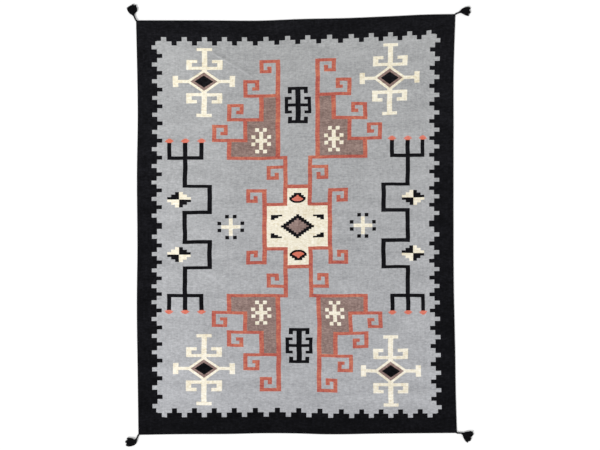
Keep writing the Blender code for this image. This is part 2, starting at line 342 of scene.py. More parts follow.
# %% Crease, hummocks and the wander of the hand
CREASE_START = np.array([-0.490, 1.014])
CREASE_END = np.array([-0.241, 0.858])
CREASE_HEIGHT = 0.0012
CREASE_REACH = 0.055
FOLD_HEIGHT = (0.0031, 0.0024)
FOLD_FOOT = (-0.0185, -0.0115)
FOLD_RISE = 0.009
FOLD_FALL = (0.012, 0.042)
FOLD_UP_BY, FOLD_DOWN_FROM = 0.07, 0.8
HUMMOCK = 0.0004
WANDER_ASIDE, WANDER_ALONG = 0.0009, 0.0007


def crease_height(x, y):
    """How far the crease lifts the cloth: a soft bell across it that is a half wave along it, with the
    fold's own line on top, which rises steeply on the lower left and falls off more gently behind."""
    run = CREASE_END - CREASE_START
    east, north = x - CREASE_START[0], y - CREASE_START[1]
    f = np.clip((east * run[0] + north * run[1]) / (run @ run), 0, 1)
    away = np.hypot(east - f * run[0], north - f * run[1])
    side = (north * run[0] - east * run[1]) / np.hypot(*run)
    bell = np.clip(1 - (away / CREASE_REACH) ** 2, 0, 1) ** 3 * np.sin(np.pi * f)
    foot = FOLD_FOOT[0] + f * (FOLD_FOOT[1] - FOLD_FOOT[0])
    fall = FOLD_FALL[0] + f * (FOLD_FALL[1] - FOLD_FALL[0])
    high = FOLD_HEIGHT[0] + f * (FOLD_HEIGHT[1] - FOLD_HEIGHT[0])
    fold = smooth(0, FOLD_RISE, side - foot) * (1 - smooth(0, 1, (side - foot - FOLD_RISE) / fall))
    return CREASE_HEIGHT * bell + high * fold * smooth(0, FOLD_UP_BY, f) * smooth(1, FOLD_DOWN_FROM, f)


def hummocks(x, y):
    """Low swells, never below the floor: the mean of three crossing sine waves of 0.3 to 0.6 m, raised
    to lie between 0 and HUMMOCK."""
    waves = np.sin(11 * x + 4 * y) + np.sin(17 * y - 6 * x + 1) + np.sin(9 * x - 13 * y + 2)
    return HUMMOCK * (waves / 6 + 0.5)


def wander(a, b):
    """The weaver's hand: colour joins stray by up to a millimetre or so, each direction by the sum of
    two sine waves that don't line up, and by nothing at the rim."""
    inside = off_the_rim(a / HALF_WIDTH, b / HALF_LENGTH, 4, 4)
    aside = WANDER_ASIDE * (np.sin(31 * b + 5 * a) + 0.6 * np.sin(67 * b - 13 * a + 2))
    along = WANDER_ALONG * (np.sin(23 * a + 3 * b + 1) + 0.6 * np.sin(53 * a - 7 * b))
    return a + inside * aside, b + inside * along


middle_of_crease = crease_height(*(0.5 * CREASE_START + 0.5 * CREASE_END))
print("height of the crease at its middle in mm:", round(float(middle_of_crease) / MM, 2))


# %% [markdown]
# ## The chart
#
# A weaver of such a rug counts it out on a chart: a quarter of the design, turned over twice. The
# stepped border, hooks, crosses, stars and pinwheels are traditional. The chart below is in
# millimetres from the middle of the rug, as blocks laid over each other, the later ones on top.
# Upright strokes are wider than level ones, because a warp step is wider than a weft step is tall. An
# image could carry the pattern, but blocks with real sizes keep every join crisp at any distance.

# %% Blocks
YARNS = ("grey", "black", "red", "cream", "taupe", "coral")
Shape = namedtuple("Shape", "yarn outline")
chart = []


def lay(yarn, *blocks):
    """Lays blocks of one yarn: each is (nearest x, farthest x, nearest y, farthest y)."""
    for x0, x1, y0, y1 in blocks:
        chart.append(Shape(yarn, np.array([(x0, y0), (x1, y0), (x1, y1), (x0, y1)], float)))


def lay_outline(yarn, *points):
    """Lays a shape of one yarn that has slanted sides: a closed row of points."""
    chart.append(Shape(yarn, np.array(points, float)))


def lay_cells(yarns, centre, cell, rows):
    """Lays a small motif cell by cell: rows of letters from the top down, each letter's yarn in
    yarns, any other character left as it is."""
    for down, row in enumerate(rows):
        for right, letter in enumerate(row):
            if letter in yarns:
                x = centre[0] + (right - len(row) / 2) * cell[0]
                y = centre[1] + (len(rows) / 2 - down) * cell[1]
                lay(yarns[letter], (x, x + cell[0], y - cell[1], y))


def lay_around(yarn, centre, *blocks):
    """Lays blocks given from a motif's own centre, and their mirror images in both directions."""
    for x0, x1, y0, y1 in blocks:
        for across in (1, -1):
            for up in (1, -1):
                x = sorted((centre[0] + across * x0, centre[0] + across * x1))
                y = sorted((centre[1] + up * y0, centre[1] + up * y1))
                lay(yarn, (*x, *y))


print("yarns:", ", ".join(YARNS))


# %% Grey field and its toothed border
SIDE_PEAKS = tuple(61 + 99 * k for k in range(11))
END_PEAKS = (58, 183, 307, 423, 537, 651, 766)
SIDE_BLACK, SIDE_STEP = 83, 29
END_BLACK, END_STEP = 95, 25


def notches(peaks, half_peak, half_tooth, first_half_tooth):
    """Where each peak of grey and the wider shoulder under it begin and end. A shoulder ends at the
    tooth, midway to the next peak; the first tooth stands on the axis."""
    made = []
    for i, peak in enumerate(peaks):
        below = first_half_tooth if i == 0 else (peaks[i - 1] + peak) / 2 + half_tooth
        above = (peak + peaks[i + 1]) / 2 - half_tooth if i + 1 < len(peaks) else peak + 3.2 * half_peak
        made.append((peak - half_peak, peak + half_peak, below, above))
    return made


side, end = HALF_WIDTH / MM - SIDE_BLACK, HALF_LENGTH / MM - END_BLACK
lay("grey", (0, side - 2 * SIDE_STEP, 0, end - 2 * END_STEP))
for peak_from, peak_to, from_, to in notches(SIDE_PEAKS, 11.5, 11.5, 17.5):
    lay("grey", (side - 2 * SIDE_STEP - 2, side - SIDE_STEP, from_, to))
    lay("grey", (side - SIDE_STEP - 2, side, peak_from, peak_to))
for peak_from, peak_to, from_, to in notches(END_PEAKS, 14.5, 14.5, 14.5):
    lay("grey", (from_, to, end - 2 * END_STEP - 2, end - END_STEP))
    lay("grey", (peak_from, peak_to, end - END_STEP - 2, end))
print("border peaks all round:", 4 * (len(SIDE_PEAKS) + len(END_PEAKS)))

# %% Stepped middle, cream cross and red hooks
lay("taupe", (127, 197, 409, 745), (197, 291, 409, 610), (291, 382, 409, 493))
lay("cream", (0, 179, 0, 120), (0, 60, 0, 223))
lay(
    "red",
    (101, 127, 391, 965), (101, 221, 946, 965), (197, 221, 886, 965), (152, 221, 886, 904),
    (152, 176, 886, 925), (197, 223, 610, 763), (291, 314, 493, 628), (382, 407, 391, 511),
)
lay(
    "red",
    (101, 313, 745, 763), (289, 313, 745, 847), (221, 313, 828, 847), (221, 245, 786, 847),
    (221, 262, 786, 805), (197, 407, 610, 628), (382, 407, 610, 708), (313, 407, 690, 708),
    (313, 336, 650, 708), (313, 355, 650, 670), (291, 493, 493, 511), (469, 493, 493, 591),
    (404, 493, 574, 591), (404, 427, 532, 591), (404, 446, 532, 551), (59, 407, 391, 409),
)
lay(
    "red",
    (59, 83, 119, 409), (59, 179, 336, 354), (156, 179, 272, 354), (109, 179, 272, 292),
    (109, 133, 272, 313), (59, 203, 119, 138), (177.5, 203, 0, 219), (177.5, 294, 200, 219),
    (271, 294, 139, 219), (229, 294, 139, 159), (229, 252, 139, 179), (0, 83, 222, 242),
)
print("blocks so far:", len(chart))

# %% Diamond, flags and eyes on the cream cross
for yarn, reach, spread in (("black", 6.5, 1.5), ("taupe", 4.5, -1.5)):
    for row in range(int(reach) + 1):
        low, high = ((row + half) * 10.4 + spread for half in (-0.5, 0.5))
        lay(yarn, (0, (reach - row) * 14.5 + spread, max(low, 0), high))
for row, width in enumerate((22, 43, 65)):
    lay("black", (155 - width, 155, 38.5 + 9.6 * row, 38.5 + 9.6 * (row + 1)))
lay("black", (0, 48, 157, 172), (0, 36, 172, 183), (0, 22, 183, 196))
lay_outline("black", (0, 136), (18, 136.5), (34, 144), (48, 157), (0, 158))
lay_outline(
    "coral",
    (0, 147.5), (14, 148), (26, 153), (33, 158), (32, 163), (21, 167), (17, 172), (8, 175), (5, 183),
    (0, 184),
)
print("blocks so far:", len(chart))

# %% Stars in the taupe steps and the crosses at the sides
lay_cells(
    {"W": "cream"}, (211, 501), (22.6, 20.3),
    (".W.W.", "..W..", "W.W.W", ".WWW.", "W.W.W", "..W..", ".W.W."),
)
lay_cells(
    {"W": "cream", "B": "black"}, (381, 0), (21.7, 20.3),
    ("..B.B..", "...W...", "B..W..B", ".WWWWW.", "B..W..B", "...W...", "..B.B.."),
)
print("blocks so far:", len(chart))

# %% Three-pronged figures, their coral caps and the pinwheels
lay(
    "black",
    (723.5, 747, 392, 488), (632, 658, 227, 488), (540, 564.5, 392, 488), (540, 747, 390.5, 411),
    (489, 658, 227, 245.5), (489, 515.5, 75, 245.5), (489, 658, 75, 96.5), (632, 658, 0, 96.5),
)
for middle in (736, 645, 552):
    for half, from_, to in ((15, 488, 494), (24, 494, 501), (18, 501, 507), (9, 507, 512)):
        lay("coral", (middle - half, middle + half, from_, to))
x, y = 678, 158.5  # the middle of a pinwheel
for row in range(3):
    wide = 22.6 * (3 - row)
    near, far = 14.5 * row, 14.5 * (row + 1)
    for yarn, back in (("black", -1), ("cream", 1)):
        upper, lower = sorted((x, x - back * wide)), sorted((x, x + back * wide))
        lay(yarn, (*upper, y + near, y + far), (*lower, y - far, y - near))
print("blocks so far:", len(chart))

# %% Black hooked cross and the cream stars in the corners
lay_around(
    "black", (0, 696),
    (0, 15, 0, 105), (0, 76, 0, 9), (56, 76, 0, 48), (36, 76, 31, 48), (0, 57, 87, 105), (34, 57, 67, 105),
)
STAR = (538.5, 839)
lay_around(
    "cream", STAR,
    (0, 15, 0, 204), (0, 44, 185, 204), (0, 178, 0, 9), (147, 178, 0, 32), (0, 103, 67, 85),
    (72, 103, 67, 126), (42, 103, 107, 126),
)
for yarn, across, up in (("cream", 101, 69.5), ("taupe", 77, 53), ("black", 54, 35)):
    x, y = STAR
    lay_outline(yarn, (x + across, y), (x, y + up), (x - across, y), (x, y - up))
print("blocks in a quarter of the chart:", len(chart))

# %% [markdown]
# ## From chart to cloth
#
# A pattern can be put on cloth as an image, as a shader or in the mesh. Here it is in the mesh: a
# constrained Delaunay triangulation is given the outlines of the blocks, and a raster of points
# between them that lets the cloth bend, so each triangle is of one yarn. Round the rim runs a strip
# that turns over the selvedge, and the underside is the same cloth again: a flat weave has no back.

# %% Points and lines of one face, in loom millimetres
RIM = 5.0
RASTER = 18.0
FINE_RASTER = 7.0
CORNER_CUT = 6.0
CLEAR_OF_RIM = 3.0
FINE_PART = (-560, -170, 790, 1090)
CREASE_LINES = (-24, -20, -18, -16, -14, -12, -10, -8, -6, -4, -1.5, 1.5, 5, 9, 14, 20, 28)
CREASE_STEPS = 50


def in_steps(start, stop):
    """The line from start to stop, cut wherever it crosses the raster, if it is level or upright."""
    step = stop - start
    length = np.hypot(*step)
    if min(abs(step)) > 1e-6:
        return np.array([start, stop])
    axis = int(abs(step[1]) > abs(step[0]))
    low, high = sorted((start[axis], stop[axis]))
    cuts = np.arange(np.ceil(low / RASTER), np.floor(high / RASTER) + 1) * RASTER
    cuts = cuts[(cuts > low + 1) & (cuts < high - 1)]
    f = np.sort(np.concatenate(([0, length], abs(cuts - start[axis])))) / length
    return start + f[:, None] * step


def rim_outline():
    """The eight corners of the rug inside its rim: a rectangle whose corners are cut for the ties."""
    x, y = HALF_WIDTH / MM - RIM, HALF_LENGTH / MM - RIM
    p, q = x - CORNER_CUT, y - CORNER_CUT
    return np.array([(x, q), (p, y), (-p, y), (-x, q), (-x, -q), (-p, -y), (p, -y), (x, -q)])


def raster(x0, x1, y0, y1, step):
    """Points on a square raster between these limits."""
    x, y = np.meshgrid(np.arange(x0, x1, step), np.arange(y0, y1, step))
    return np.stack([x.ravel(), y.ravel()], axis=1)


def crease_points():
    """Points in lines along the crease, closer together near it, in loom millimetres."""
    run = CREASE_END - CREASE_START
    along = np.linspace(-0.05, 1.05, CREASE_STEPS)
    f, d = (grid.ravel() for grid in np.meshgrid(along, np.array(CREASE_LINES) * MM))
    across = np.array([-run[1], run[0]]) / np.hypot(*run)
    x, y = (CREASE_START + f[:, None] * run + d[:, None] * across).T
    return np.stack(loom_place(x, y), axis=1) / MM


def all_lines():
    """Every outline of the chart in all four quarters, and the rim, each cut into short steps."""
    lines = []
    rim = rim_outline()
    for i in range(len(rim)):
        lines.append(in_steps(rim[i - 1], rim[i]))
    for shape in chart:
        for across in (1, -1):
            for up in (1, -1):
                outline = shape.outline * (across, up)
                lines += [in_steps(outline[i - 1], outline[i]) for i in range(len(outline))]
    return lines


print("lines to keep to in the whole chart:", len(all_lines()))


# %% Triangles
def triangulate():
    """Triangles whose sides keep to every line: corners as (n, 2) in millimetres, and the triangles'
    corner numbers, all turned anticlockwise."""
    lines = all_lines()
    starts = np.cumsum([0] + [len(line) for line in lines])
    edges = [(s + i, s + i + 1) for s, line in zip(starts, lines) for i in range(len(line) - 1)]
    reach_x, reach_y = (half / MM - RIM - CLEAR_OF_RIM for half in (HALF_WIDTH, HALF_LENGTH))
    half_x, half_y = RASTER * (reach_x // RASTER), RASTER * (reach_y // RASTER)
    coarse = raster(-half_x, half_x + 1, -half_y, half_y + 1, RASTER)
    fine = raster(*FINE_PART, FINE_RASTER)
    points = np.vstack([*lines, coarse, fine, crease_points()])
    coords, _, faces, *_ = delaunay_2d_cdt([Vector(p) for p in points], edges, [], 1, 1e-3, False)
    corners = np.array([tuple(p) for p in coords])
    triangles = np.array([face for face in faces if len(face) == 3])
    p, q, r = (corners[triangles[:, i]] for i in range(3))
    turn = (q[:, 0] - p[:, 0]) * (r[:, 1] - p[:, 1]) - (q[:, 1] - p[:, 1]) * (r[:, 0] - p[:, 0])
    triangles[turn < 0] = triangles[turn < 0][:, ::-1]
    return corners, triangles


corners, triangles = triangulate()
print("one face of the cloth:", len(corners), "points,", len(triangles), "triangles")


# %% The yarn of each triangle
def holds(outline, x, y):
    """Which points lie inside an outline: those from which a line to the right crosses its sides an
    odd number of times."""
    inside = np.zeros(len(x), bool)
    for (x0, y0), (x1, y1) in zip(outline, np.roll(outline, -1, axis=0)):
        if y0 != y1:
            spans = (y0 > y) != (y1 > y)
            inside ^= spans & (x < x0 + (y - y0) * (x1 - x0) / (y1 - y0))
    return inside


def yarn_numbers(corners, triangles):
    """The number of each triangle's yarn, from the last block that holds its middle. What no block
    holds is the black of the border."""
    x, y = np.abs(corners[triangles].mean(axis=1)).T
    numbers = np.full(len(triangles), YARNS.index("black"))
    for shape in chart:
        low, high = shape.outline.min(axis=0), shape.outline.max(axis=0)
        near = np.flatnonzero((x > low[0]) & (x < high[0]) & (y > low[1]) & (y < high[1]))
        held = near[holds(shape.outline, x[near], y[near])]
        numbers[held] = YARNS.index(shape.yarn)
    return numbers


yarn_of = yarn_numbers(corners, triangles)
for number, name in enumerate(YARNS):
    print("triangles of", name, "yarn:", int((yarn_of == number).sum()))

# %% [markdown]
# ## Wool
#
# Every colour is the same sort of yarn: spun from uneven fleece, dyed in small lots and woven without
# a finish. So one function makes all six materials, and only colours and amounts differ. What the eye
# meets is a matt surface with a faint nap. Fine streaks run along the wefts where lighter and darker
# fleece was carded together, the heather. Faint bands lie across the rug where one lot of yarn ended
# and the next began, the abrash. Painted light makes the cloth lighter towards the left side, and a
# little lighter towards the right. The ribs over the warps are 4.8 mm apart, with beads of weft 2.4 mm
# long, which only tell in close views. The heather and the ribs' painted light and shade lines are
# drawn about twice as coarse as on real cloth, because they should show from the camera.

# %% Grain sizes
WARP_PITCH = 0.0048
BEAD = 0.0024
BEAD_JOINT = 0.0006
RELIEF = 0.0005
# The grains' sizes in metres, across the rug and along it, then the noise's octaves and the weight of
# the finer ones: clumps of fleece, painted light and shade in lines along the warp ribs, cloudy
# places, dashes of darker yarn, lots of yarn as bands across the rug, and single hairs.
Grain = namedtuple("Grain", "across along detail roughness")
GRAINS = {
    "fleece": Grain(0.026, 0.010, 3.0, 0.9),
    # Painted light and shade of the ribs, drawn into the colour.
    "rib": Grain(0.010, 0.060, 2.0, 0.5),
    "blotch": Grain(0.200, 0.060, 3.0, 0.5),
    "dash": Grain(0.017, 0.005, 2.0, 0.5),
    "lots": Grain(2.6, 0.085, 2.0, 0.5),
    "hair": Grain(0.0009, 0.0004, 2.0, 0.5),
}
SHADE_SHARES = {"fleece": 0.64, "rib": 0.14, "blotch": 0.22}
DASH_FROM, DASH_TO = 0.60, 0.72
LOTS_STRENGTH = 0.13
YELLOWER_BY_METRE = -0.018
print("warps across the rug:", round(2 * HALF_WIDTH / WARP_PITCH))


# %% Painted light across the rug
# Painted light over the whole cloth: from start to stop across the rug, in metres, it grows brighter by
# more, 15.5 percent towards the left and 4 percent towards the right.
Fade = namedtuple("Fade", "start stop more")
PAINTED_LIGHT_SIDES = (Fade(-0.12, -0.90, 0.155), Fade(0.55, 0.85, 0.04))
TIMES, TIMES_PLUS = {"operation": "MULTIPLY"}, {"operation": "MULTIPLY_ADD"}


def painted_light_and_rise(tree, x, y, rise):
    """How bright the cloth is at a place, 1 in the middle: painted light makes it brighter towards the
    left and a little brighter towards the right, and it changes by rise with each metre up the rug."""
    bright = add(tree, "Math", TIMES_PLUS, {0: y, 1: rise, 2: 1.0})
    for lit_side in PAINTED_LIGHT_SIDES:
        side = add(
            tree, "MapRange", {"interpolation_type": "SMOOTHSTEP"},
            {"Value": x, "From Min": lit_side.start, "From Max": lit_side.stop, "To Max": lit_side.more},
        )
        bright = add(tree, "Math", {"operation": "ADD"}, {0: bright, 1: side})
    return bright


for lit_side in PAINTED_LIGHT_SIDES:
    print("brighter by", 100 * lit_side.more, "percent at", lit_side.stop, "m from the middle")


# %% Colour of the wool
Dye = namedtuple("Dye", "mid dark light spread dashes rise")


def all_grain(tree, loom):
    """One noise for each kind of grain, its loom coordinates divided by the grain's size."""
    grain = {}
    for kind, size in GRAINS.items():
        stretched = add(
            tree, "Mapping", inputs={"Vector": loom, "Scale": (1 / size.across, 1 / size.along, 1.0)}
        )
        grain[kind] = add(
            tree, "TexNoise", {"noise_dimensions": "2D"},
            {"Vector": stretched, "Scale": 1.0, "Detail": size.detail, "Roughness": size.roughness},
        )
    return grain


def wool_colour(tree, grain, x, y, dye):
    """The dye's dark, mid and light shade by the weighted sum of three noises, one of them the ribs'
    painted light and shade, with dashes of the dark one, times the lots of yarn and the painted light
    across the rug. Blue is a little weaker towards the upper end."""
    shade = 0.0
    for kind, share in SHADE_SHARES.items():
        shade = add(tree, "Math", TIMES_PLUS, {0: grain[kind], 1: share, 2: shade})
    ramp = add(tree, "ValToRGB", inputs={0: shade})
    ends = ramp.color_ramp.elements
    ends[0].position, ends[0].color = 0.5 - dye.spread, linear(dye.dark)
    ends[1].position, ends[1].color = 0.5 + dye.spread, linear(dye.light)
    ends.new(0.5).color = linear(dye.mid)
    fleck = add(
        tree, "MapRange",
        inputs={"Value": grain["dash"], "From Min": DASH_FROM, "From Max": DASH_TO, "To Max": dye.dashes},
    )
    dashed = add(tree, "Mix", {"data_type": "RGBA"}, {0: fleck, 6: ramp, 7: linear(dye.dark)})

    centred = add(tree, "Math", {"operation": "SUBTRACT"}, {0: grain["lots"], 1: 0.5})
    # Painted light: brighter towards the left and a little towards the right; through rise the black is also
    # painted lighter towards the upper end.
    painted_light_and_rise_level = painted_light_and_rise(tree, x, y, dye.rise)
    level = add(tree, "Math", TIMES_PLUS, {0: centred, 1: LOTS_STRENGTH, 2: painted_light_and_rise_level})
    cool = add(tree, "Math", TIMES_PLUS, {0: y, 1: YELLOWER_BY_METRE, 2: 1.0})
    blue = add(tree, "Math", TIMES, {0: level, 1: cool})
    tint = add(tree, "CombineXYZ", inputs={0: level, 1: level, 2: blue})
    return add(tree, "VectorMath", TIMES, {0: dashed.outputs[2], 1: tint})


print("share of each grain in the shade:", SHADE_SHARES)


# %% Relief of the weave
def weave_relief(tree, grain, x, y):
    """A sine wave over the warps, minus the joints between the beads of weft, plus hair and fleece."""
    turned = add(tree, "CombineXYZ", inputs={0: y, 1: x, 2: 0.0})
    joints = add(
        tree, "TexBrick", {"offset": 0.5, "squash": 1.0},
        {
            "Vector": turned, "Scale": 1.0, "Mortar Size": BEAD_JOINT, "Mortar Smooth": 1.0,
            "Brick Width": BEAD, "Row Height": WARP_PITCH / 2,
        },
    )
    wave = add(tree, "Math", TIMES, {0: x, 1: 2 * np.pi / WARP_PITCH})
    ribs = add(tree, "Math", {"operation": "SINE"}, {0: wave})
    height = 0.0
    parts = ((joints.outputs["Fac"], -1.0), (ribs, 0.4), (grain["hair"], 0.9), (grain["fleece"], 1.6))
    for part, share in parts:
        height = add(tree, "Math", TIMES_PLUS, {0: part, 1: share, 2: height})
    return add(tree, "Bump", inputs={"Strength": 0.55, "Distance": RELIEF, "Height": height})


print("beads of weft in mm:", BEAD / MM, "by", WARP_PITCH / 2 / MM)


# %% One wool for each yarn
def woven_wool(name, dye):
    """Hand-woven wool of one dye."""
    material, tree = new_material(name)
    loom = add(tree, "UVMap", {"uv_map": "loom"})
    x, y, _ = add(tree, "SeparateXYZ", inputs={0: loom}).outputs
    grain = all_grain(tree, loom)
    shader = add(
        tree, "BsdfPrincipled",
        inputs={
            "Base Color": wool_colour(tree, grain, x, y, dye), "Roughness": 0.92,
            "Normal": weave_relief(tree, grain, x, y), "Specular IOR Level": 0.03,
            "Sheen Weight": 0.015, "Sheen Roughness": 0.6,
        },
    )
    add(tree, "OutputMaterial", inputs={"Surface": shader})
    return material


# Grey: dark and white fleece carded together, undyed, so it looks like pale stone with a soft grain.
# Black: natural dark wool overdyed, which drinks the light and shows only its ribs.
# Red: a brick dye that took unevenly, so it wavers between orange and crimson from inch to inch.
# Cream: undyed wool, slightly yellow, the brightest yarn. Taupe: brown wool let down with white.
# Coral: a few ends of a brighter orange dye with pinker places.
DYES = {
    "grey": Dye("#A1A2A4", "#8E8F91", "#B3B4B6", 0.145, 0.15, -0.035),
    # The black's last number, 0.22, is painted light: a painted sheen that grows lighter towards the upper
    # end.
    "black": Dye("#0F0F12", "#060608", "#1B1B1F", 0.15, 0.0, 0.22),
    "red": Dye("#B16052", "#97433F", "#C98062", 0.165, 0.35, 0.0),
    "cream": Dye("#E4DDCA", "#CFC3A6", "#F4F0E3", 0.165, 0.15, 0.0),
    "taupe": Dye("#87726C", "#6D5A55", "#A08B84", 0.145, 0.25, 0.0),
    "coral": Dye("#CA6E5C", "#C66445", "#D4847A", 0.17, 0.0, 0.0),
}
wools = {name: woven_wool("handwoven_" + name + "_wool", DYES[name]) for name in YARNS}
print("wool materials:", len(wools))

# %% [markdown]
# ## The rug
#
# At the rim the cloth doesn't end in a cut: the wefts turn back round an edge cord, which leaves a
# rounded bead about 3 mm across with a shallow groove beside it. That profile is swept round all four
# sides. A thin solid box would look cut out. One UV map holds the loom coordinates in metres, for the
# weave. The other lays the whole chart out flat in the unit square.

# %% The cloth as one closed surface
# The selvedge's profile in millimetres, from the upper face to the under one: (inset, height).
RIM_PROFILE = (
    (4.0, 3.72), (3.2, 3.70), (2.4, 3.95), (1.3, 3.90), (0.45, 3.20), (0.0, 2.0), (0.45, 0.80),
    (1.3, 0.10), (2.4, 0.05), (3.2, 0.30), (4.0, 0.28),
)


def rim_loop(corners, triangles):
    """The points on the rim's inner line: those on sides of one triangle only, sorted by their
    direction from the middle."""
    sides = np.concatenate([triangles[:, [0, 1]], triangles[:, [1, 2]], triangles[:, [2, 0]]])
    sides = np.sort(sides, axis=1)
    sides, uses = np.unique(sides, axis=0, return_counts=True)
    loop = np.unique(sides[uses == 1])
    x, y = corners[loop].T
    return loop[np.argsort(np.arctan2(y, x))]


def band(rows):
    """Quads between neighbouring rows of point numbers, each row closed on itself."""
    here, after = rows[:-1], rows[1:]
    quads = np.stack([here, after, np.roll(after, -1, axis=1), np.roll(here, -1, axis=1)], axis=-1)
    return quads.reshape(-1, 4)


BAKE_MARGIN = 1.01  # the flat chart leaves half a percent of the unit square free on each side


def make_rug():
    """The rug: upper face, strip round the rim and underside as one closed surface."""
    count = len(corners)
    loop = rim_loop(corners, triangles)
    full = np.array([HALF_WIDTH, HALF_LENGTH]) / MM
    loom = [corners, corners]
    heights = [np.full(count, THICKNESS / MM), np.zeros(count)]
    for inset, height in RIM_PROFILE:
        loom.append(corners[loop] * (full - inset) / (full - RIM))
        heights.append(np.full(len(loop), height))
    loom, heights = np.vstack(loom) * MM, np.concatenate(heights) * MM
    rim_rows = 2 * count + np.arange(len(RIM_PROFILE) * len(loop)).reshape(len(RIM_PROFILE), -1)
    rows = np.vstack([loop, rim_rows, loop + count])
    x, y = cloth_place(*wander(*loom.T))
    points = np.stack([x, y, heights + crease_height(x, y) + hummocks(x, y)], axis=1)
    under = triangles[:, ::-1] + count
    rim = band(rows)
    rim_yarn = np.full(len(rim), YARNS.index("black"))
    rug = new_object(
        "rug_cloth", points, [triangles, under, rim], list(wools.values()),
        np.concatenate([yarn_of, yarn_of, rim_yarn]),
    )
    numbers = corner_numbers(rug)
    add_uv(rug, "OFBake", loom[numbers] / (full * MM * 2 * BAKE_MARGIN) + 0.5)
    add_uv(rug, "loom", loom[numbers])
    return rug


rug = make_rug()
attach(rug, "root")
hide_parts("rug")
print("rug:", len(rug.data.vertices), "points,", len(rug.data.polygons), "faces")

# %% [markdown]
# ## Black yarn
#
# The tassels and ties are of the border's black yarn. Each yarn is two strands twisted together, so
# its side shows slanting stripes about 2 mm apart, a bump with painted shade in the groove between the
# plies. They are drawn on a UV map that runs round the yarn and along it, because only that follows a
# bent yarn.

# %% Twisted yarn material
PLY_TWIST = 0.0035


def spun_yarn(name, dark, light):
    """Black two-ply yarn: slanting stripes round the yarn, with painted shade darker in the groove between
    the plies.
    """
    material, tree = new_material(name)
    along = add(tree, "UVMap", {"uv_map": "yarn"})
    split = add(tree, "SeparateXYZ", inputs={0: along})
    turns = add(tree, "Math", TIMES_PLUS, {0: split.outputs[1], 1: 1 / PLY_TWIST, 2: split.outputs[0]})
    phase = add(tree, "Math", TIMES, {0: turns, 1: 4 * np.pi})
    wave = add(tree, "Math", {"operation": "SINE"}, {0: phase})
    ply_height_and_shade = add(tree, "Math", TIMES_PLUS, {0: wave, 1: 0.5, 2: 0.5})
    # Painted shade: the dark colour lies in the groove between the plies, the light one on their crests.
    colour = add(tree, "Mix", {"data_type": "RGBA"}, {0: ply_height_and_shade, 6: linear(dark), 7: linear(light)})
    relief = add(tree, "Bump", inputs={"Strength": 0.8, "Distance": 0.0003, "Height": ply_height_and_shade})
    shader = add(
        tree, "BsdfPrincipled",
        inputs={
            "Base Color": colour.outputs[2], "Roughness": 0.85, "Normal": relief,
            "Specular IOR Level": 0.05, "Sheen Weight": 0.015, "Sheen Roughness": 0.5,
        },
    )
    add(tree, "OutputMaterial", inputs={"Surface": shader})
    return material


# Wool of the border's dye, twisted but not woven: the loose ends catch a little more light.
# The first colour is the painted shade in the groove between the plies, the second the plies' own black.
black_yarn = spun_yarn("twisted_black_wool_yarn", "#070708", "#161619")
print("one turn of the two plies in mm:", PLY_TWIST / MM)


# %% Round yarns along paths
def unit(vectors):
    """Vectors brought to length one."""
    return vectors / np.linalg.norm(vectors, axis=-1, keepdims=True)


def yarns(paths, radii, sides, reference):
    """Round yarns along many paths at once. paths is (yarns, steps, 3) and radii (yarns, steps). A
    section is radius times (cos, sin) of the angle, in two directions: one square to the path and to
    reference, the other square to that one and the path. Each end is closed to a point. Returns the
    points, the faces and each corner's (round, along)."""
    many, steps, _ = paths.shape
    forward = unit(np.gradient(paths, axis=1))
    aside = unit(np.cross(reference, forward))
    over = np.cross(forward, aside)
    angle = 2 * np.pi * np.arange(sides) / sides
    ring = aside[:, :, None] * np.cos(angle)[:, None] + over[:, :, None] * np.sin(angle)[:, None]
    points = paths[:, :, None] + radii[:, :, None, None] * ring
    first_tip = paths[:, 0] - forward[:, 0] * radii[:, :1] * 0.5
    last_tip = paths[:, -1] + forward[:, -1] * radii[:, -1:] * 0.8
    tips = np.stack([first_tip, last_tip], axis=1)
    number = np.arange(many * steps * sides).reshape(many, steps, sides)
    turned = np.roll(number, -1, axis=2)
    quads = np.stack([number[:, :-1], turned[:, :-1], turned[:, 1:], number[:, 1:]], axis=-1)
    tip = number.size + np.arange(many * 2).reshape(many, 2)
    first = np.stack(np.broadcast_arrays(turned[:, 0], number[:, 0], tip[:, :1]), axis=-1)
    last = np.stack(np.broadcast_arrays(number[:, -1], turned[:, -1], tip[:, 1:]), axis=-1)
    gone = np.zeros((many, steps))
    gone[:, 1:] = np.cumsum(np.linalg.norm(np.diff(paths, axis=1), axis=-1), axis=1)
    j = np.arange(sides) / sides
    low, high, k = gone[:, :-1, None], gone[:, 1:, None], j + 1 / sides
    quad_uv = np.stack(np.broadcast_arrays(j, low, k, low, k, high, j, high), axis=-1).reshape(-1, 2)
    end_uv = [np.stack(np.broadcast_arrays(j, gone[:, e, None]), axis=-1) for e in (0, -1)]
    end_uv = np.repeat(np.concatenate([uv.reshape(-1, 2) for uv in end_uv]), 3, axis=0)
    faces = [quads.reshape(-1, 4), np.concatenate([first.reshape(-1, 3), last.reshape(-1, 3)])]
    return np.vstack([points.reshape(-1, 3), tips.reshape(-1, 3)]), faces, np.vstack([quad_uv, end_uv])


def black_piece(name, stands_for, made):
    """Puts black yarns in the scene as one piece, in the place of the CAD node it stands for."""
    points, faces, uv = made
    piece = new_object(name + stands_for[-3:], points, faces, [black_yarn])
    add_uv(piece, "yarn", uv)
    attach(piece, "root")
    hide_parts(stands_for)
    return piece


UP = np.array([0.0, 0.0, 1.0])
straight = np.linspace([0.0, 0.0, 0.0], [0.05, 0.0, 0.0], 10)[None]
print("points of one five-sided yarn:", len(yarns(straight, np.full((1, 10), MM), 5, UP)[0]))

# %% [markdown]
# ## Ties
#
# At a corner the ends of the edge cords come out together. The maker twists them: three plies that
# turn about each other once in every 24 mm. A ply's path is the tie's own curve plus a small circle
# that turns with the distance gone, which makes a helix that follows any bend.

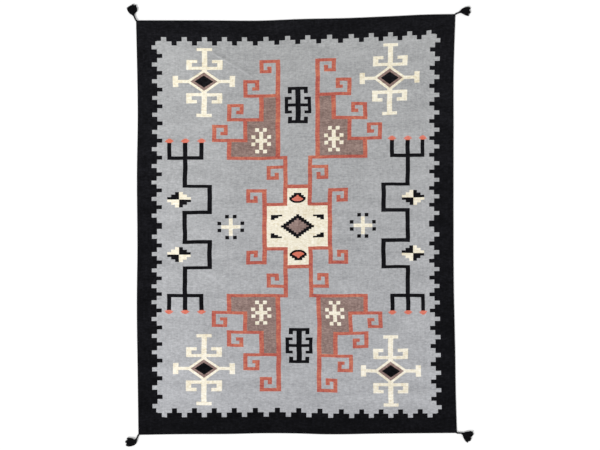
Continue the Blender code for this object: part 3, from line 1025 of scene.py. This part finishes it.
# %% Corners
# Where each tie ends, the way it arrives there, in degrees from +X towards +Y, the way its tassel's
# tips lean, the tassel's length, how far it spreads at the middle and at the tips, and how far a few
# strands stray, to the left if positive. Lengths are in metres.
Corner = namedtuple("Corner", "name side_x side_y tie_x tie_y arrives leans length middle tips stray")
CORNERS = (
    Corner("nw", -1, 1, -0.948, 1.219, 116, 88, 0.063, 0.033, 0.017, 0.030),
    Corner("ne", 1, 1, 0.9365, 1.2375, 26, 4, 0.063, 0.021, 0.027, 0.0),
    Corner("sw", -1, -1, -0.933, -1.233, -118, -166, 0.064, 0.027, 0.023, 0.0),
    Corner("se", 1, -1, 0.951, -1.199, -24, -26, 0.063, 0.028, 0.038, 0.0),
)
TIE_RADIUS = 0.0045
PLY_RADIUS = 0.0024
PLIES = 3
TURN_LENGTH = 0.024
PLY_SIDES = 12
TIE_STEPS = 90
TIE_HANDLE = 0.35
TIE_ROOT = 0.002
print("corners:", ", ".join(corner.name for corner in CORNERS))


# %% Twisted plies
def heading(degrees):
    """The level unit vector that points this many degrees from +X towards +Y."""
    angle = np.radians(degrees)
    return np.array([np.cos(angle), np.sin(angle), 0.0])


def corner_place(corner):
    """The middle of the cut corner, and the level direction that its cut faces."""
    a, b = corner.side_x * HALF_WIDTH, corner.side_y * HALF_LENGTH
    tip, beside, below = (
        np.array([*floor_place(np.array(p), np.array(q)), 0.0])
        for p, q in ((a, b), (a * 0.98, b), (a, b * 0.98))
    )
    first = tip + unit(beside - tip) * CORNER_CUT * MM
    second = tip + unit(below - tip) * CORNER_CUT * MM
    across = unit(second - first)
    out = np.array([across[1], -across[0], 0.0])
    return (first + second) / 2, out * np.sign(out @ tip)


def tie_route(corner):
    """The middle line of a tie: a cubic Bezier curve that leaves the corner squarely and comes in to
    the tassel along its heading."""
    start, out = corner_place(corner)
    start, end = start + [0, 0, TIE_RADIUS], np.array([corner.tie_x, corner.tie_y, TIE_RADIUS])
    start = start - out * TIE_ROOT
    handle = TIE_HANDLE * np.linalg.norm(end - start)
    first, second = start + out * handle, end - heading(corner.arrives) * handle
    f = np.linspace(0, 1, TIE_STEPS)[:, None]
    return start * (1 - f) ** 3 + 3 * first * f * (1 - f) ** 2 + 3 * second * f * f * (1 - f) + end * f**3


def make_tie(corner):
    """A tie's three plies, each a helix round its route."""
    route = tie_route(corner)
    gone = np.concatenate([[0], np.cumsum(np.linalg.norm(np.diff(route, axis=0), axis=1))])
    forward = unit(np.gradient(route, axis=0))
    aside = unit(np.cross(UP, forward))
    over = np.cross(forward, aside)
    turn = 2 * np.pi * (gone / TURN_LENGTH + np.arange(PLIES)[:, None] / PLIES)
    away = (TIE_RADIUS - PLY_RADIUS) * (aside * np.cos(turn)[..., None] + over * np.sin(turn)[..., None])
    radii = np.full((PLIES, TIE_STEPS), PLY_RADIUS)
    return black_piece("tie_plies", "tie_" + corner.name, yarns(route + away, radii, PLY_SIDES, UP))


ties = [make_tie(corner) for corner in CORNERS]
print("ties:", len(ties), "of", PLIES, "plies,", len(ties[0].data.polygons), "faces each")

# %% [markdown]
# ## Tassels
#
# A tassel is a bundle of yarn laid over the tie, folded and bound below the fold with a few turns of
# the same yarn. The cut ends fan out as they fall. The strands are all made at once: each has a place
# in the bundle, and one law says how the bundle bends, widens and settles on the floor. Hair curves
# could do this too, but tubes reach the exported model as they are.

# %% Head and binding
# The head's outline: how far from the tie, half the width there and half the height.
HEAD_RINGS = np.array((
    (0.0000, 0.0030, 0.0030), (0.0008, 0.0050, 0.0046), (0.0024, 0.0066, 0.0055),
    (0.0045, 0.0073, 0.0058), (0.0074, 0.0068, 0.0056), (0.0092, 0.0062, 0.0052),
))
BINDING_PLACE = HEAD_RINGS[-2, 0]
NECK_WIDTH, NECK_HEIGHT = HEAD_RINGS[-1, 1:]
HEAD_HEIGHT = 0.0058
HEAD_YARN = 0.0011
HEAD_YARNS, HEAD_STEPS, HEAD_SIDES = 26, 9, 6
BINDING_TURNS, BINDING_STEPS, BINDING_SIDES = 4, 30, 8
BINDING_RADIUS = 0.0009
BINDING_PITCH = 1.7 * BINDING_RADIUS
BINDING_BITE = 0.0003
OVERLAP = 1.03


def on_ovals(corner, d, angle, wide, high):
    """Points on ovals round a tassel's axis: d along it from the tie, wide times the cosine of the
    angle to the left of it and high times the sine above it."""
    ahead, left = heading(corner.arrives), heading(corner.arrives + 90)
    axis = np.array([corner.tie_x, corner.tie_y, HEAD_HEIGHT]) + ahead * d[..., None]
    return axis + left * (np.cos(angle) * wide)[..., None] + UP * (np.sin(angle) * high)[..., None]


def head_yarns(corner):
    """The fold of the bundle: yarns that run over the head from the tie to the binding, side by side
    round it, at the half-width and half-height that the rings give."""
    distance, wide, high = HEAD_RINGS.T
    d = np.linspace(0, distance[-1], HEAD_STEPS)
    w, h = np.interp(d, distance, wide) - HEAD_YARN, np.interp(d, distance, high) - HEAD_YARN
    angle = 2 * np.pi * np.arange(HEAD_YARNS)[:, None] / HEAD_YARNS
    paths = on_ovals(corner, d, angle, w, h)
    reference = UP + heading(corner.arrives) * 0.01
    return yarns(paths, np.full(paths.shape[:2], HEAD_YARN), HEAD_SIDES, reference)


def binding(corner):
    """Turns of yarn round the neck: each an oval loop, set one yarn further along."""
    angle = np.linspace(0, 2 * np.pi * OVERLAP, BINDING_STEPS)
    turn = np.arange(BINDING_TURNS)[:, None] + angle / (2 * np.pi) - 1
    d = BINDING_PLACE + BINDING_PITCH * turn
    paths = on_ovals(corner, d, angle, NECK_WIDTH, NECK_HEIGHT - BINDING_BITE)
    radii = np.full(paths.shape[:2], BINDING_RADIUS)
    return yarns(paths, radii, BINDING_SIDES, heading(corner.arrives))


print("widest of the head in mm:", 2 * HEAD_RINGS[:, 1].max() / MM)


# %% Strands
STRANDS, STRAND_STEPS, STRAND_SIDES = 230, 10, 5
STRAND_RADIUS = 0.00085
STACK_HEIGHT = 0.0108
STACK_SINKS = 0.30
MIDDLE_CURVE = 0.30
SHORTER_SIDES, SHORTER_STRAYS, UNEVEN_ENDS = 0.10, 0.16, 0.10
TUFTS = 7.0
TUFT_DEPTH = 0.045
STRAY_FROM = 0.6
SPLAY = 0.0022
WAVE_ASIDE, WAVES_ASIDE = 0.0011, 1.6
WAVE_UP, WAVES_UP = 0.0006, 1.3
SETTLED_BY = 0.3
SEED = 11


def parabola(start, control, end, f):
    """A point f of the way along the parabola from start to end that control pulls on."""
    return start * (1 - f) ** 2 + control * 2 * f * (1 - f) + end * f * f


def strand_paths(corner, random):
    """The path of every strand, whose place in the bundle is (p, q), from right to left and up. The
    middle line is a parabola from the head to the tips, the strands stand off it by p times a spread
    that opens and closes, and they sink from the head's height to lie on each other."""
    p = np.linspace(-1, 1, STRANDS)
    q = random.permutation(np.linspace(0, 1, STRANDS))
    outwards = p * np.sign(corner.stray)
    stray = np.clip((outwards - STRAY_FROM) / (1 - STRAY_FROM), 0, 1)
    tufts = TUFT_DEPTH * np.cos(TUFTS * p + corner.leans)
    reach = 1 - SHORTER_SIDES * p**2 - SHORTER_STRAYS * stray - UNEVEN_ENDS * random.random(STRANDS) - tufts
    f = np.linspace(0, 1, STRAND_STEPS) * reach[:, None]
    ahead = heading(corner.arrives)
    base = np.array([corner.tie_x, corner.tie_y, 0.0])
    start, end = base + ahead * 0.006, base + heading(corner.leans) * corner.length
    control = start + ahead * MIDDLE_CURVE * np.linalg.norm(end - start)
    line = parabola(start, control, end, f[..., None])
    forward = unit(2 * (control - start) * (1 - f[..., None]) + 2 * (end - control) * f[..., None])
    left = np.cross(UP, forward)
    spread = parabola(NECK_WIDTH - STRAND_RADIUS, corner.middle, corner.tips, f)
    low, wave = random.random((2, STRANDS, 1))
    aside = p[:, None] * spread + corner.stray * stray[:, None] * f**2
    aside += SPLAY * f * (random.random((STRANDS, 1)) - 0.5) * 2
    aside += WAVE_ASIDE * f * np.sin(2 * np.pi * (WAVES_ASIDE * f + wave))
    settled = STRAND_RADIUS + q[:, None] * (STACK_HEIGHT - 2 * STRAND_RADIUS) * (1 - STACK_SINKS * f)
    across = np.sqrt(np.clip(1 - p**2, 0.05, 1))[:, None]
    held = HEAD_HEIGHT + (2 * q[:, None] - 1) * across * (NECK_HEIGHT - STRAND_RADIUS)
    sink = smooth(0, SETTLED_BY, f)
    height = held * (1 - sink) + settled * sink
    height += WAVE_UP * f * np.sin(2 * np.pi * (WAVES_UP * f + low))
    path = line + left * aside[..., None]
    path[..., 2] = np.maximum(height, STRAND_RADIUS)
    return path


def joined(*parts):
    """Several (points, faces, uv) results as one: the faces' numbers move up by the points before."""
    points, quads, ends, quad_uv, end_uv, before = [], [], [], [], [], 0
    for part_points, (part_quads, part_ends), uv in parts:
        points.append(part_points)
        quads.append(part_quads + before)
        ends.append(part_ends + before)
        quad_uv.append(uv[: part_quads.size])
        end_uv.append(uv[part_quads.size :])
        before += len(part_points)
    return np.vstack(points), [np.vstack(quads), np.vstack(ends)], np.vstack(quad_uv + end_uv)


def make_tassel(corner, random):
    """One tassel: strands, head and binding in one mesh."""
    paths = strand_paths(corner, random)
    grow = np.clip(np.linspace(0, 1, STRAND_STEPS) * 4, 0, 1)
    radii = STRAND_RADIUS * (0.6 + 0.4 * grow) * np.ones((STRANDS, 1))
    strands = yarns(paths, radii, STRAND_SIDES, UP)
    made = joined(strands, head_yarns(corner), binding(corner))
    return black_piece("tassel_yarns", "tassel_" + corner.name, made)


random = np.random.default_rng(SEED)
tassels = [make_tassel(corner, random) for corner in CORNERS]
print("tassels:", len(tassels), "of", STRANDS, "strands,", len(tassels[0].data.polygons), "faces each")
